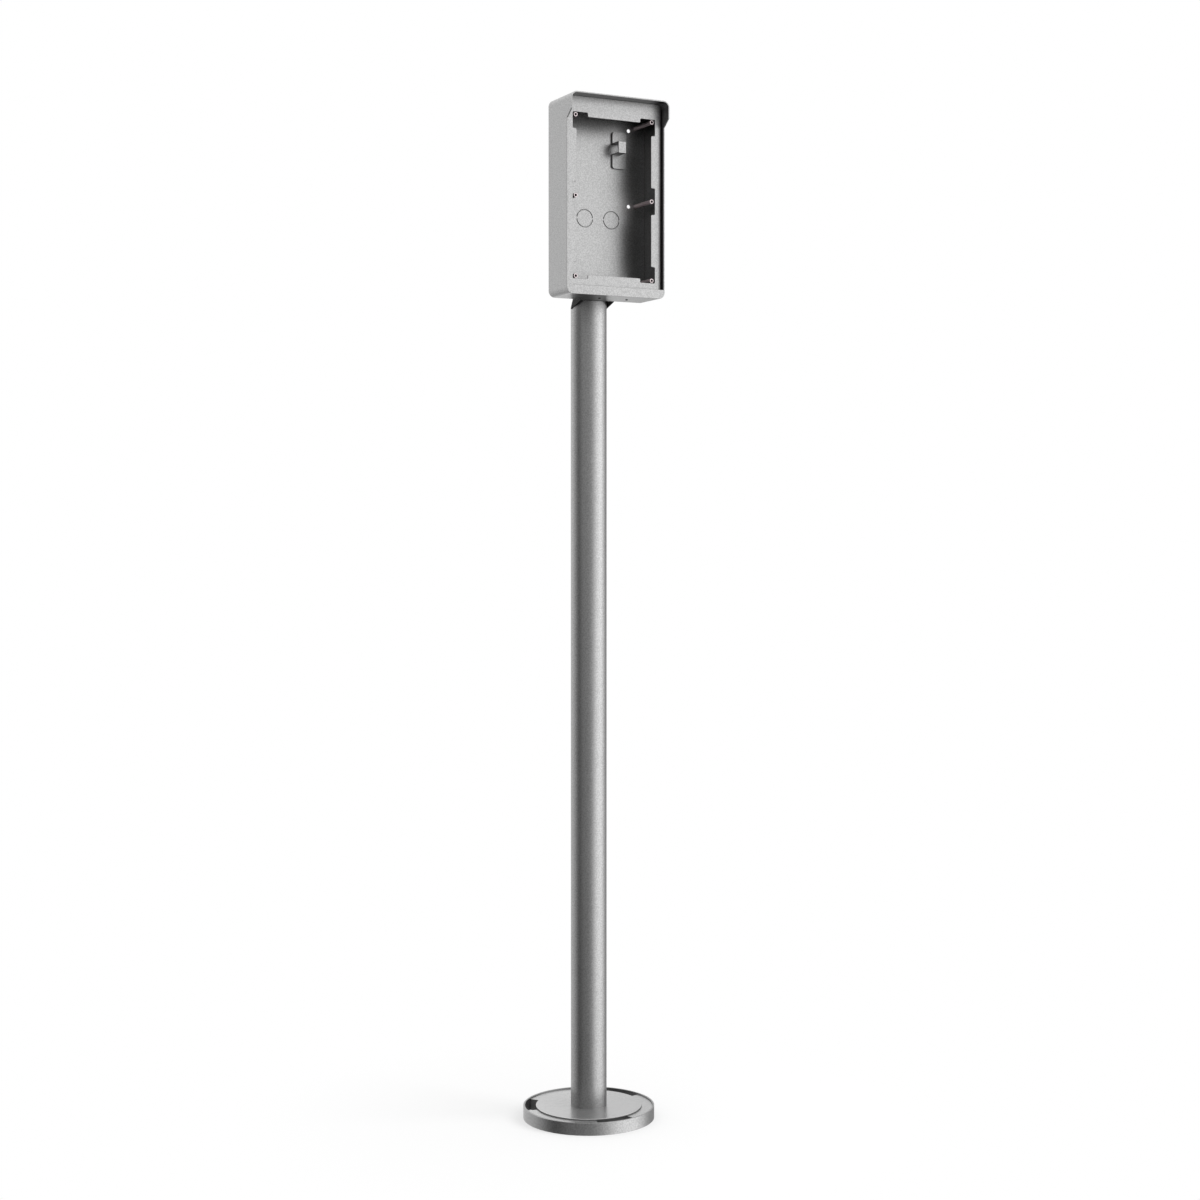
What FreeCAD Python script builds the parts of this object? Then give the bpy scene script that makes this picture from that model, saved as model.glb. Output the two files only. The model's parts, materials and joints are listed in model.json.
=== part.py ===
import FreeCAD, Part
import math
import os

# Gate intercom post: a round tube on a turned foot carries an empty folded-sheet
# head, open at the front, in which an intercom unit is screwed to six standoffs.
# Millimetres. The origin is on the post axis at floor level, +Z is up, and the
# open side of the head faces -Y.

# Post tube
post_diameter = 60.0
post_wall = 2.0

# Cover ring that stands round the floor plate
ring_diameter = 220.0
ring_wall = 3.0
ring_height = 20.8
ring_edge_chamfer = 0.3

# Floor plate, with curved anchor slots that open at its edge and start under the disc
plate_thickness = 18.7
plate_clearance = 0.15
slot_count = 3
slot_sweep = 38.0
slot_first_angle = -90.0
slot_corner_radius = 3.0
slot_depth = 21.0

# Raised foot disc, its hub below and the cable bore through both
disc_diameter = 177.5
disc_rise = 2.3
disc_edge_chamfer = 0.3
hub_diameter = 80.0
hub_depth = 12.0
hub_clearance = 0.1
cable_bore = 50.0

# Countersunk screws that hold the hub from below
foot_screw_count = 3
foot_screw_diameter = 5.0
foot_screw_head = 10.0
foot_screw_grip = 8.0
foot_screw_room = 1.0
foot_screw_sink = 0.3

# Head: sides, top and bottom folded from one sheet
head_width = 180.0
head_height = 322.0
head_depth = 67.4
head_bottom = 1366.0
head_sheet = 2.0
head_corner_radius = 11.0
hood_reach = 16.0
hood_skirt = 28.0
hood_slant_drop = 12.5
hood_corner_radius = 2.5
lip_height = 15.0
weld_gap = 0.1

# Front frame, set back in the head, with a stepped opening
frame_recess = 7.4
frame_sheet = 2.0
frame_flange = 12.0
frame_bend_radius = 2.5
tongue_width = 80.0
tongue_depth = 38.0
side_border = 21.4
top_border = 34.5
bottom_border = 32.5
notch_reach = 7.0
corner_notch_rise = 6.8
corner_notch_length = 27.4
corner_notch_drop = 19.9
middle_notch_height = 43.4
opening_corner_radius = 2.0

# Six threaded standoffs for the intercom unit, in the opening's notches
standoff_side_gap = 2.1
standoff_end_gap = 0.8
standoff_diameter = 7.0
standoff_bore = 3.3
standoff_bore_depth = 20.0
standoff_setback = 0.5

# Back plate: wall holes, knock-outs and the cable hole
back_sheet = 2.0
wall_hole_inset = 12.6
wall_hole_drop = 0.8
wall_hole_end_inset = 4.2
wall_hole_diameter = 6.2
knockout_spacing = 49.4
knockout_drop = 26.0
knockout_diameter = 30.0
knockout_groove = 1.1
knockout_groove_depth = 1.5
knockout_tab = 2.6

# Cable bridge on the back plate: a shallow tray, and a strap pushed out of its face
bridge_left = 24.9
bridge_top_gap = 6.8
bridge_tray_width = 26.0
bridge_tray_height = 61.2
bridge_tray_depth = 4.0
bridge_tray_radius = 5.0
bridge_sheet = 1.5
bridge_strap_width = 14.0
bridge_strap_height = 19.3
bridge_strap_drop = 29.1
bridge_reach = 26.0
bridge_bend_radius = 2.0

# Neck: folded saddle bracket and the cover behind the tube's cut top
bracket_sheet = 2.0
bracket_bend_radius = 3.0
neck_drop = 12.0
neck_back = 3.0
neck_angle = 61.5
cover_sheet = 2.0
cover_gap = 0.1

# Bolts between the head and the bracket, and the grommet beside them
bolt_diameter = 5.0
bolt_length = 10.0
bolt_head_flats = 9.0
bolt_head_height = 3.5
bolt_hole_clearance = 0.25
bolt_inset = 8.0
bolt_row_height = 11.0
bolt_row_pitch = 16.0
nut_flats = 8.0
nut_height = 4.0
thread_clearance = 0.05
cable_hole_diameter = 16.0
grommet_flange = 20.0
grommet_lip = 1.8
grommet_bore = 10.0
grommet_clearance = 0.1
tube_hole_margin = 1.5

# Small screws under the head, right of its middle, that hold the front frame's tongue
frame_screw_spacing = 50.4
frame_screw_offset = 12.4
frame_screw_setback = 28.0
frame_screw_diameter = 3.0
frame_screw_head = 4.0
frame_screw_head_height = 1.2
frame_screw_tail = 4.0

# Values that follow from the sizes above
post_radius = post_diameter / 2
ring_radius = ring_diameter / 2
plate_radius = ring_radius - ring_wall - plate_clearance
disc_radius = disc_diameter / 2
disc_top = plate_thickness + disc_rise
hub_floor = plate_thickness - hub_depth
foot_screw_circle = (hub_diameter + cable_bore) / 4
slot_floor_radius = plate_radius - slot_depth

head_rear = -post_radius - bracket_sheet
head_front = head_rear - head_depth
hood_front = head_front - hood_reach
head_top = head_bottom + head_height
head_middle = head_bottom + head_height / 2
back_face = head_rear - back_sheet
frame_front = head_front + frame_recess
opening_width = head_width - 2 * side_border
opening_height = head_height - top_border - bottom_border
opening_top = head_top - top_border
opening_middle = opening_top - opening_height / 2
notch_x = opening_width / 2 + notch_reach
notch_z = opening_height / 2 + corner_notch_rise
standoff_x = notch_x - standoff_side_gap - standoff_diameter / 2
standoff_pitch = notch_z - standoff_end_gap - standoff_diameter / 2
wall_hole_x = standoff_x - wall_hole_inset
wall_hole_middle = opening_middle - wall_hole_drop
wall_hole_pitch = standoff_pitch - wall_hole_end_inset
bridge_top = opening_top - bridge_top_gap

inner_width = head_width - 2 * head_sheet
inner_height = head_height - 2 * head_sheet
inner_corner_radius = head_corner_radius - head_sheet

neck_top = head_bottom - neck_drop
neck_slope = math.radians(neck_angle)
web_face = head_rear + bracket_sheet
bolt_x = post_radius - bolt_inset
bolt_rows = [head_bottom + bolt_row_height + row * bolt_row_pitch for row in range(2)]
cable_hole_height = sum(bolt_rows) / 2

# How far a cutting shape runs past what it cuts
past = 5.0

UP = FreeCAD.Vector(0, 0, 1)
BACK = FreeCAD.Vector(0, 1, 0)
RIGHT = FreeCAD.Vector(1, 0, 0)


def vector(x, y, z):
    return FreeCAD.Vector(x, y, z)


def rounded_face(corners, radius):
    """A flat face whose corners are arcs of one radius."""
    edges = []
    ends = []
    count = len(corners)
    for index in range(count):
        corner = corners[index]
        to_last = (corners[index - 1] - corner).normalize()
        to_next = (corners[(index + 1) % count] - corner).normalize()
        half_angle = to_last.getAngle(to_next) / 2
        reach = radius / math.tan(half_angle)
        inward = (to_last + to_next).normalize()
        middle = corner + inward * (radius / math.sin(half_angle) - radius)
        start = corner + to_last * reach
        end = corner + to_next * reach
        edges.append(Part.Arc(start, middle, end).toShape())
        ends.append((start, end))
    outline = []
    for index in range(count):
        outline.append(edges[index])
        line_start = ends[index][1]
        line_end = ends[(index + 1) % count][0]
        if line_start.distanceToPoint(line_end) > 1e-6:
            outline.append(Part.LineSegment(line_start, line_end).toShape())
    return Part.Face(Part.Wire(outline))


def plain_face(corners):
    """A flat face with sharp corners."""
    return Part.Face(Part.makePolygon(corners + [corners[0]]))


def front_corners(width, height, middle_x, y, middle_z):
    """The four corners of an upright rectangle that faces the front."""
    left = middle_x - width / 2
    right = middle_x + width / 2
    low = middle_z - height / 2
    high = middle_z + height / 2
    return [vector(left, y, low), vector(right, y, low), vector(right, y, high), vector(left, y, high)]


def rounded_block(width, height, radius, y_front, y_back, middle_x, middle_z):
    """A block that runs from front to back with four rounded long edges."""
    face = rounded_face(front_corners(width, height, middle_x, y_front, middle_z), radius)
    return face.extrude(BACK * (y_back - y_front))


def side_prism(profile, x_left, x_right):
    """A prism across the object from (y, z) corners."""
    face = plain_face([vector(x_left, y, z) for y, z in profile])
    return face.extrude(RIGHT * (x_right - x_left))


def hexagon(flats, centre, axis, length):
    """A six-sided prism from its centre along an axis."""
    across = RIGHT if abs(axis.x) < 0.5 else UP
    side = axis.cross(across)
    corners = []
    for step in range(6):
        angle = math.radians(60 * step + 30)
        spoke = across * math.cos(angle) + side * math.sin(angle)
        corners.append(centre + spoke * (flats / 2 / math.cos(math.radians(30))))
    return plain_face(corners).extrude(axis * length)


def turned(profile):
    """A solid turned about the post axis from (radius, height) corners."""
    face = plain_face([vector(radius, 0, height) for radius, height in profile])
    return face.revolve(vector(0, 0, 0), UP, 360)


def chamfer_circles(shape, size, radius, height):
    """Chamfers the round edges of one radius at one height."""
    chosen = []
    for edge in shape.Edges:
        round_edge = isinstance(edge.Curve, Part.Circle) and abs(edge.Curve.Radius - radius) < 1e-4
        if round_edge and abs(edge.CenterOfMass.z - height) < 1e-4:
            chosen.append(edge)
    return shape.makeChamfer(size, chosen)


def foot_screw_places():
    """Centres of the foot screws, between the cable bore and the hub's edge."""
    places = []
    for index in range(foot_screw_count):
        angle = math.radians(90 + 360 / foot_screw_count * index)
        places.append((foot_screw_circle * math.cos(angle), foot_screw_circle * math.sin(angle)))
    return places


def around(radius, turn, height):
    """A point at a radius, an angle in radians and a height."""
    return vector(radius * math.cos(turn), radius * math.sin(turn), height)


def anchor_slot(angle):
    """A curved slot with straight ends that is open outwards, as a tool."""
    middle = math.radians(angle)
    half_sweep = math.radians(slot_sweep) / 2
    reach = plate_radius + past
    low = -past
    sector = plain_face([
        vector(0, 0, low),
        around(2 * reach, middle - half_sweep, low),
        around(2 * reach, middle + half_sweep, low),
    ])
    tall = UP * (plate_thickness + 2 * past)
    ring = Part.makeCylinder(reach, tall.Length, vector(0, 0, low))
    ring = ring.cut(Part.makeCylinder(slot_floor_radius, tall.Length, vector(0, 0, low)))
    slot = sector.extrude(tall).common(ring)
    inner_corners = [edge for edge in slot.Edges if at_slot_corner(edge)]
    return slot.makeFillet(slot_corner_radius, inner_corners)


def at_slot_corner(edge):
    """Whether an edge is an upright one at a slot's inner corner."""
    if abs(edge.BoundBox.XLength) + abs(edge.BoundBox.YLength) > 1e-3:
        return False
    centre = edge.CenterOfMass
    return math.hypot(centre.x, centre.y) < slot_floor_radius + slot_corner_radius


def cover_ring():
    """Plain ring that hides the floor plate's edge and stands above it."""
    inner = ring_radius - ring_wall
    chamfered = ring_radius - ring_edge_chamfer
    return turned([
        (inner, 0),
        (ring_radius, 0),
        (ring_radius, ring_height - ring_edge_chamfer),
        (chamfered, ring_height),
        (inner, ring_height),
    ])


def base_plate():
    """Round floor plate with hub pocket, open slots and screw holes."""
    pocket_radius = hub_diameter / 2 + hub_clearance
    plate = turned([
        (cable_bore / 2, 0),
        (plate_radius, 0),
        (plate_radius, plate_thickness),
        (pocket_radius, plate_thickness),
        (pocket_radius, hub_floor),
        (cable_bore / 2, hub_floor),
    ])
    for index in range(slot_count):
        plate = plate.cut(anchor_slot(slot_first_angle + 360 / slot_count * index))
    for x, y in foot_screw_places():
        plate = plate.cut(foot_screw_hole(x, y))
    return plate


def foot_screw_hole(x, y):
    """Clearance hole with its countersink at the underside."""
    hole_radius = foot_screw_diameter / 2 + bolt_hole_clearance
    head_radius = foot_screw_head / 2 + bolt_hole_clearance
    cone_height = head_radius - hole_radius
    hole = Part.makeCylinder(hole_radius, hub_floor + past, vector(x, y, 0))
    mouth = Part.makeCylinder(head_radius, foot_screw_sink + past, vector(x, y, -past))
    cone = Part.makeCone(head_radius, hole_radius, cone_height, vector(x, y, foot_screw_sink))
    return hole.fuse([mouth, cone])


def foot_disc():
    """Raised disc on the floor plate, with a hub in the plate's pocket."""
    disc = turned([
        (cable_bore / 2, hub_floor),
        (hub_diameter / 2, hub_floor),
        (hub_diameter / 2, plate_thickness),
        (disc_radius, plate_thickness),
        (disc_radius, disc_top),
        (cable_bore / 2, disc_top),
    ])
    disc = chamfer_circles(disc, disc_edge_chamfer, disc_radius, disc_top)
    thread_radius = foot_screw_diameter / 2 + thread_clearance
    depth = foot_screw_grip + foot_screw_room
    for x, y in foot_screw_places():
        disc = disc.cut(Part.makeCylinder(thread_radius, depth, vector(x, y, hub_floor)))
    return disc


def foot_screws():
    """Countersunk screws up through the floor plate into the hub."""
    screws = []
    head_radius = foot_screw_head / 2
    shank_radius = foot_screw_diameter / 2
    cone_height = head_radius - shank_radius
    for x, y in foot_screw_places():
        head = Part.makeCone(head_radius, shank_radius, cone_height, vector(x, y, foot_screw_sink))
        shank_length = hub_floor + foot_screw_grip - foot_screw_sink
        shank = Part.makeCylinder(shank_radius, shank_length, vector(x, y, foot_screw_sink))
        screws.append(head.fuse(shank).removeSplitter())
    return Part.makeCompound(screws)


def slope_height(y, line_y, line_z):
    """Height of the neck's slope at y, for a slope that passes one point."""
    return line_z + (line_y - y) * math.tan(neck_slope)


def cover_fold():
    """Where the underside of the cover's slope meets its flat part."""
    return neck_back - cover_sheet * math.tan(neck_slope / 2)


def post_tube():
    """Round tube, cut flat behind and on a slope in front at its top."""
    top = slope_height(-post_radius - past, cover_fold(), neck_top)
    tube = Part.makeCylinder(post_radius, top - disc_top, vector(0, 0, disc_top))
    tube = tube.cut(Part.makeCylinder(post_radius - post_wall, top - disc_top, vector(0, 0, disc_top)))
    above = side_prism([
        (post_radius + past, neck_top),
        (cover_fold(), neck_top),
        (-post_radius - past, top),
        (post_radius + past, top),
    ], -post_radius - past, post_radius + past)
    hole_radius = grommet_flange / 2 + tube_hole_margin
    hole = Part.makeCylinder(hole_radius, post_radius, vector(0, -post_radius - past, cable_hole_height), BACK)
    return tube.cut(above).cut(hole)


def neck_cover():
    """Folded sheet that closes the tube's top between the bracket's cheeks."""
    outer_top = slope_height(web_face, neck_back, neck_top + cover_sheet)
    inner_top = slope_height(web_face, cover_fold(), neck_top)
    sheet = side_prism([
        (post_radius, neck_top),
        (post_radius, neck_top + cover_sheet),
        (neck_back, neck_top + cover_sheet),
        (web_face, outer_top),
        (web_face, inner_top),
        (cover_fold(), neck_top),
    ], -post_radius, post_radius)
    return sheet.common(bracket_hollow(cover_gap, neck_back)).removeSplitter()


def bracket_hollow(gap, rear):
    """The room inside the bracket, in front of one place, and the tube's round behind it."""
    half_width = post_radius - gap
    low = neck_top - past
    corners = [
        vector(-half_width, web_face, low), vector(half_width, web_face, low),
        vector(half_width, 2 * post_radius, low), vector(-half_width, 2 * post_radius, low),
    ]
    tall = UP * (head_height + past)
    room = rounded_face(corners, bracket_bend_radius - bracket_sheet).extrude(tall)
    front_part = Part.makeBox(
        post_diameter, rear - web_face, head_height, vector(-post_radius, web_face, low))
    round_part = Part.makeCylinder(half_width, head_height, vector(0, 0, low))
    return room.common(front_part).fuse(round_part)


def saddle_bracket():
    """U-shaped bracket: a web behind the head, two cheeks beside the tube."""
    half_width = post_radius + bracket_sheet
    outer = rounded_face([
        vector(-half_width, head_rear, neck_top - past),
        vector(half_width, head_rear, neck_top - past),
        vector(half_width, 2 * post_radius, neck_top - past),
        vector(-half_width, 2 * post_radius, neck_top - past),
    ], bracket_bend_radius)
    inner = rounded_face([
        vector(-post_radius, web_face, neck_top - past),
        vector(post_radius, web_face, neck_top - past),
        vector(post_radius, 3 * post_radius, neck_top - past),
        vector(-post_radius, 3 * post_radius, neck_top - past),
    ], bracket_bend_radius - bracket_sheet)
    top = slope_height(head_rear, neck_back, neck_top + cover_sheet)
    tall = UP * (top - neck_top + 2 * past)
    channel = outer.extrude(tall).cut(inner.extrude(tall))
    outline = side_prism([
        (head_rear, head_bottom),
        (neck_back, neck_top),
        (neck_back, neck_top + cover_sheet),
        (head_rear, top),
    ], -half_width - past, half_width + past)
    bracket = channel.common(outline)
    for x, z in bolt_places():
        bracket = bracket.cut(bolt_hole(x, z))
    return bracket.cut(cable_hole())


def bolt_places():
    """Centres of the four bolts between the head and the bracket."""
    return [(x, z) for z in bolt_rows for x in (-bolt_x, bolt_x)]


def bolt_hole(x, z):
    """Clearance hole for a bolt, through back plate and web."""
    radius = bolt_diameter / 2 + bolt_hole_clearance
    length = back_sheet + bracket_sheet + 2 * past
    return Part.makeCylinder(radius, length, vector(x, back_face - past, z), BACK)


def cable_hole():
    """Round hole for the cable, through back plate and web."""
    length = back_sheet + bracket_sheet + 2 * past
    start = vector(0, back_face - past, cable_hole_height)
    return Part.makeCylinder(cable_hole_diameter / 2, length, start, BACK)


def cable_grommet():
    """Rubber grommet that lines the cable hole, with its flange inside the head."""
    start = vector(0, back_face - grommet_lip, cable_hole_height)
    length = grommet_lip + back_sheet + bracket_sheet
    waist_radius = cable_hole_diameter / 2 - grommet_clearance
    body = Part.makeCylinder(waist_radius, length, start, BACK)
    flange = Part.makeCylinder(grommet_flange / 2, grommet_lip, start, BACK)
    bore = Part.makeCylinder(grommet_bore / 2, length, start, BACK)
    return body.fuse(flange).cut(bore).removeSplitter()


def head_bolts():
    """Hexagon bolts from inside the head, through back plate and web."""
    bolts = []
    for x, z in bolt_places():
        face = vector(x, back_face, z)
        head = hexagon(bolt_head_flats, face, -BACK, bolt_head_height)
        shank = Part.makeCylinder(bolt_diameter / 2, bolt_length, face, BACK)
        bolts.append(head.fuse(shank).removeSplitter())
    return Part.makeCompound(bolts)


def neck_nuts():
    """Nuts behind the web, in the corners between the tube and the cheeks."""
    nuts = []
    for x, z in bolt_places():
        start = vector(x, web_face, z)
        bore_radius = bolt_diameter / 2 + thread_clearance
        bore = Part.makeCylinder(bore_radius, nut_height, start, BACK)
        nuts.append(hexagon(nut_flats, start, BACK, nut_height).cut(bore))
    return Part.makeCompound(nuts)


def head_shell():
    """Sides, top and bottom in one sheet, with the hood and the bottom's front lip."""
    outer = rounded_block(
        head_width, head_height, head_corner_radius, hood_front, head_rear, 0, head_middle)
    inner = rounded_block(
        inner_width, inner_height, inner_corner_radius, hood_front, head_rear, 0, head_middle)
    skirt_low = head_top - hood_skirt
    half_width = head_width / 2 + past
    in_front = rounded_hood_cut(skirt_low, half_width)
    shell = outer.cut(inner).cut(in_front)
    lip = rounded_block(
        inner_width, inner_height, inner_corner_radius, head_front, head_front + head_sheet,
        0, head_middle)
    lip_room = Part.makeBox(
        head_width, head_depth, lip_height, vector(-head_width / 2, head_front, head_bottom))
    shell = shell.fuse(lip.common(lip_room)).removeSplitter()
    for x in frame_screw_places():
        shell = shell.cut(frame_screw_hole(x))
    return shell


def rounded_hood_cut(skirt_low, half_width):
    """What is cut away below the hood: straight walls, then a slant up to the skirt."""
    profile = [
        (hood_front - past, head_bottom - past),
        (head_front, head_bottom - past),
        (head_front, skirt_low - hood_slant_drop),
        (hood_front, skirt_low),
        (hood_front - past, skirt_low),
    ]
    cut = side_prism(profile, -half_width, half_width)
    corner_start = vector(-half_width, hood_front, skirt_low)
    return cut.fuse(round_tip(corner_start, half_width)).removeSplitter()


def round_tip(corner, half_width):
    """The sliver that rounds the hood's lower front corner."""
    slant = vector(0, head_front - hood_front, -hood_slant_drop).normalize()
    reach = hood_corner_radius / math.tan(slant.getAngle(UP) / 2)
    start = corner + UP * reach
    end = corner + slant * reach
    inward = (UP + slant).normalize()
    half_angle = slant.getAngle(UP) / 2
    middle = corner + inward * (hood_corner_radius / math.sin(half_angle) - hood_corner_radius)
    edges = [
        Part.LineSegment(corner, start).toShape(),
        Part.Arc(start, middle, end).toShape(),
        Part.LineSegment(end, corner).toShape(),
    ]
    return Part.Face(Part.Wire(edges)).extrude(RIGHT * (2 * half_width))


def back_plate():
    """Flat plate welded into the rear of the shell."""
    plate = rounded_block(
        inner_width - 2 * weld_gap, inner_height - 2 * weld_gap, inner_corner_radius - weld_gap,
        back_face, head_rear, 0, head_middle)
    for x in (-wall_hole_x, wall_hole_x):
        for row in (-1, 0, 1):
            plate = plate.cut(wall_hole(x, wall_hole_middle + row * wall_hole_pitch))
    for x in (-knockout_spacing / 2, knockout_spacing / 2):
        plate = plate.cut(knockout_grooves(x))
    for x, z in bolt_places():
        plate = plate.cut(bolt_hole(x, z))
    return plate.cut(cable_hole())


def wall_hole(x, z):
    """Round hole for a wall fixing."""
    start = vector(x, back_face - past, z)
    return Part.makeCylinder(wall_hole_diameter / 2, back_sheet + 2 * past, start, BACK)


def knockout_grooves(x):
    """Two half-round grooves in the inner face, round a disc that can be knocked out."""
    centre = vector(x, back_face - past, opening_middle - knockout_drop)
    length = past + knockout_groove_depth
    ring = Part.makeCylinder(knockout_diameter / 2, length, centre, BACK)
    ring = ring.cut(Part.makeCylinder(knockout_diameter / 2 - knockout_groove, length, centre, BACK))
    tab_start = centre - RIGHT * knockout_diameter - UP * (knockout_tab / 2)
    return ring.cut(Part.makeBox(2 * knockout_diameter, length, knockout_tab, tab_start))


def front_frame():
    """Plate behind the head's front edge, folded back along the side walls and the bottom."""
    width = inner_width - 2 * weld_gap
    height = inner_height - 2 * weld_gap
    radius = inner_corner_radius - weld_gap
    frame = rounded_block(width, height, radius, frame_front, frame_front + frame_sheet, 0, head_middle)
    frame = frame.cut(straight_borders(width, height, radius))
    upright = folded_channel(width, height - 2 * radius)
    lying = folded_channel(height, width - 2 * radius)
    lying.rotate(vector(0, 0, 0), BACK, 90)
    lower_half = Part.makeBox(width, 2 * frame_flange, height, vector(-width / 2, frame_front, -height))
    for channel in (upright, lying.common(lower_half)):
        channel.translate(vector(0, 0, head_middle))
        frame = frame.fuse(channel)
    frame = frame.removeSplitter().cut(frame_opening())
    frame = frame.fuse(frame_tongue()).removeSplitter()
    for x in frame_screw_places():
        frame = frame.cut(frame_thread(x))
    return frame


def frame_tongue():
    """The middle stretch of the lower flange, which reaches further back to its screws."""
    left = frame_screw_offset - tongue_width / 2
    start = vector(left, frame_front + frame_flange / 2, head_bottom + head_sheet + weld_gap)
    return Part.makeBox(tongue_width, tongue_depth - frame_flange / 2, frame_sheet, start)


def frame_screw_places():
    """Where the two frame screws stand across the head."""
    half = frame_screw_spacing / 2
    return (frame_screw_offset - half, frame_screw_offset + half)


def straight_borders(width, height, radius):
    """All of the frame's plate but its four corners and its top edge."""
    upright = Part.makeBox(
        width, frame_flange, height - 2 * radius,
        vector(-width / 2, frame_front, head_middle - height / 2 + radius))
    lying = Part.makeBox(
        width - 2 * radius, frame_flange, height / 2,
        vector(-width / 2 + radius, frame_front, head_middle - height / 2))
    return upright.fuse(lying)


def folded_channel(span, length):
    """A sheet folded back at both sides, upright about the origin's height."""
    low = -length / 2
    back = frame_front + frame_flange
    outer = rounded_face([
        vector(-span / 2, frame_front, low), vector(span / 2, frame_front, low),
        vector(span / 2, back + frame_flange, low), vector(-span / 2, back + frame_flange, low),
    ], frame_bend_radius)
    inner_half = span / 2 - frame_sheet
    inner = rounded_face([
        vector(-inner_half, frame_front + frame_sheet, low),
        vector(inner_half, frame_front + frame_sheet, low),
        vector(inner_half, back + 2 * frame_flange, low),
        vector(-inner_half, back + 2 * frame_flange, low),
    ], frame_bend_radius - frame_sheet)
    channel = outer.extrude(UP * length).cut(inner.extrude(UP * length))
    room = Part.makeBox(span, frame_flange, length, vector(-span / 2, frame_front, low))
    return channel.common(room)


def frame_opening():
    """The stepped opening: notches at its four corners and at mid-height."""
    half_width = opening_width / 2
    half_height = opening_height / 2
    inner_x = notch_x - corner_notch_length
    shoulder = half_height - corner_notch_drop
    waist = middle_notch_height / 2
    quarter = [
        (inner_x, -half_height), (inner_x, -notch_z), (notch_x, -notch_z), (notch_x, -shoulder),
        (half_width, -shoulder), (half_width, -waist), (notch_x, -waist),
    ]
    upper = [(x, -z) for x, z in reversed(quarter)]
    right = quarter + upper
    left = [(-x, z) for x, z in reversed(right)]
    corners = [vector(x, frame_front - past, opening_middle + z) for x, z in right + left]
    return rounded_face(corners, opening_corner_radius).extrude(BACK * (frame_sheet + 2 * past))


def frame_screw_hole(x):
    """Clearance hole in the shell's bottom for a frame screw."""
    start = vector(x, frame_front + frame_screw_setback, head_bottom - past)
    radius = frame_screw_diameter / 2 + bolt_hole_clearance
    return Part.makeCylinder(radius, head_sheet + past + weld_gap / 2, start)


def frame_thread(x):
    """Threaded hole in the frame's lower flange for a frame screw."""
    start = vector(x, frame_front + frame_screw_setback, head_bottom)
    radius = frame_screw_diameter / 2 + thread_clearance
    return Part.makeCylinder(radius, head_sheet + weld_gap + frame_sheet + past, start)


def frame_screws():
    """Small screws whose heads show under the head."""
    screws = []
    for x in frame_screw_places():
        y = frame_front + frame_screw_setback
        low = head_bottom - frame_screw_head_height
        head = Part.makeCylinder(frame_screw_head / 2, frame_screw_head_height, vector(x, y, low))
        shank_length = head_sheet + frame_screw_tail
        shank = Part.makeCylinder(frame_screw_diameter / 2, shank_length, vector(x, y, head_bottom))
        screws.append(head.fuse(shank).removeSplitter())
    return Part.makeCompound(screws)


def standoff(x, z):
    """Round spacer from the back plate to the frame, threaded at its front."""
    front = frame_front + standoff_setback
    length = back_face - front
    spacer = Part.makeCylinder(standoff_diameter / 2, length, vector(x, front, z), BACK)
    thread = Part.makeCylinder(standoff_bore / 2, standoff_bore_depth, vector(x, front, z), BACK)
    return spacer.cut(thread)


def cable_bridge():
    """Shallow tray on the back plate, with a strap that stands forward over a cable."""
    tray_face = back_face - bridge_tray_depth
    middle_x = bridge_left + bridge_tray_width / 2
    middle_z = bridge_top - bridge_tray_height / 2
    tray = rounded_block(
        bridge_tray_width, bridge_tray_height, bridge_tray_radius, tray_face, back_face,
        middle_x, middle_z)
    hollow = rounded_block(
        bridge_tray_width - 2 * bridge_sheet, bridge_tray_height - 2 * bridge_sheet,
        bridge_tray_radius - bridge_sheet, tray_face + bridge_sheet, back_face + past,
        middle_x, middle_z)
    window = plain_face(strap_profile(bridge_sheet, tray_face - past, back_face + past))
    return tray.cut(hollow).cut(strap_bar(window)).fuse(bridge_strap()).removeSplitter()


def bridge_strap():
    """The strap: a front face and two level legs, open to the left and the right."""
    front = back_face - bridge_reach
    far = back_face + bridge_reach
    outer = rounded_face(strap_profile(0, front, far), bridge_bend_radius)
    inner_profile = strap_profile(bridge_sheet, front + bridge_sheet, 2 * far - front)
    inner = rounded_face(inner_profile, bridge_bend_radius - bridge_sheet)
    room = plain_face(strap_profile(0, front, back_face - bridge_tray_depth + bridge_sheet))
    return strap_bar(outer.cut(inner).common(room))


def strap_profile(inset, y_front, y_back):
    """A rectangle at the strap's left edge: its height, less an inset above and below."""
    middle_z = bridge_top - bridge_strap_drop
    low = middle_z - bridge_strap_height / 2 + inset
    high = middle_z + bridge_strap_height / 2 - inset
    return [
        vector(bridge_left, y_front, low), vector(bridge_left, y_back, low),
        vector(bridge_left, y_back, high), vector(bridge_left, y_front, high),
    ]


def strap_bar(profile):
    """A profile drawn out over the strap's width."""
    return profile.extrude(RIGHT * bridge_strap_width)


def all_parts():
    """Every piece by its name."""
    parts = {
        "cover_ring": cover_ring(),
        "base_plate": base_plate(),
        "foot_disc": foot_disc(),
        "foot_screws": foot_screws(),
        "post_tube": post_tube(),
        "neck_cover": neck_cover(),
        "saddle_bracket": saddle_bracket(),
        "neck_nuts": neck_nuts(),
        "head_bolts": head_bolts(),
        "cable_grommet": cable_grommet(),
        "head_shell": head_shell(),
        "back_plate": back_plate(),
        "front_frame": front_frame(),
        "frame_screws": frame_screws(),
        "cable_bridge": cable_bridge(),
    }
    for row, row_name in ((-1, "lower"), (0, "middle"), (1, "upper")):
        for side, side_name in ((-1, "left"), (1, "right")):
            z = opening_middle + row * standoff_pitch
            parts["standoff_" + row_name + "_" + side_name] = standoff(side * standoff_x, z)
    return parts


os.makedirs("parts", exist_ok=True)
for name, shape in all_parts().items():
    shape.exportStep("parts/" + name + ".step")
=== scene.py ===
import json
import math

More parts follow.
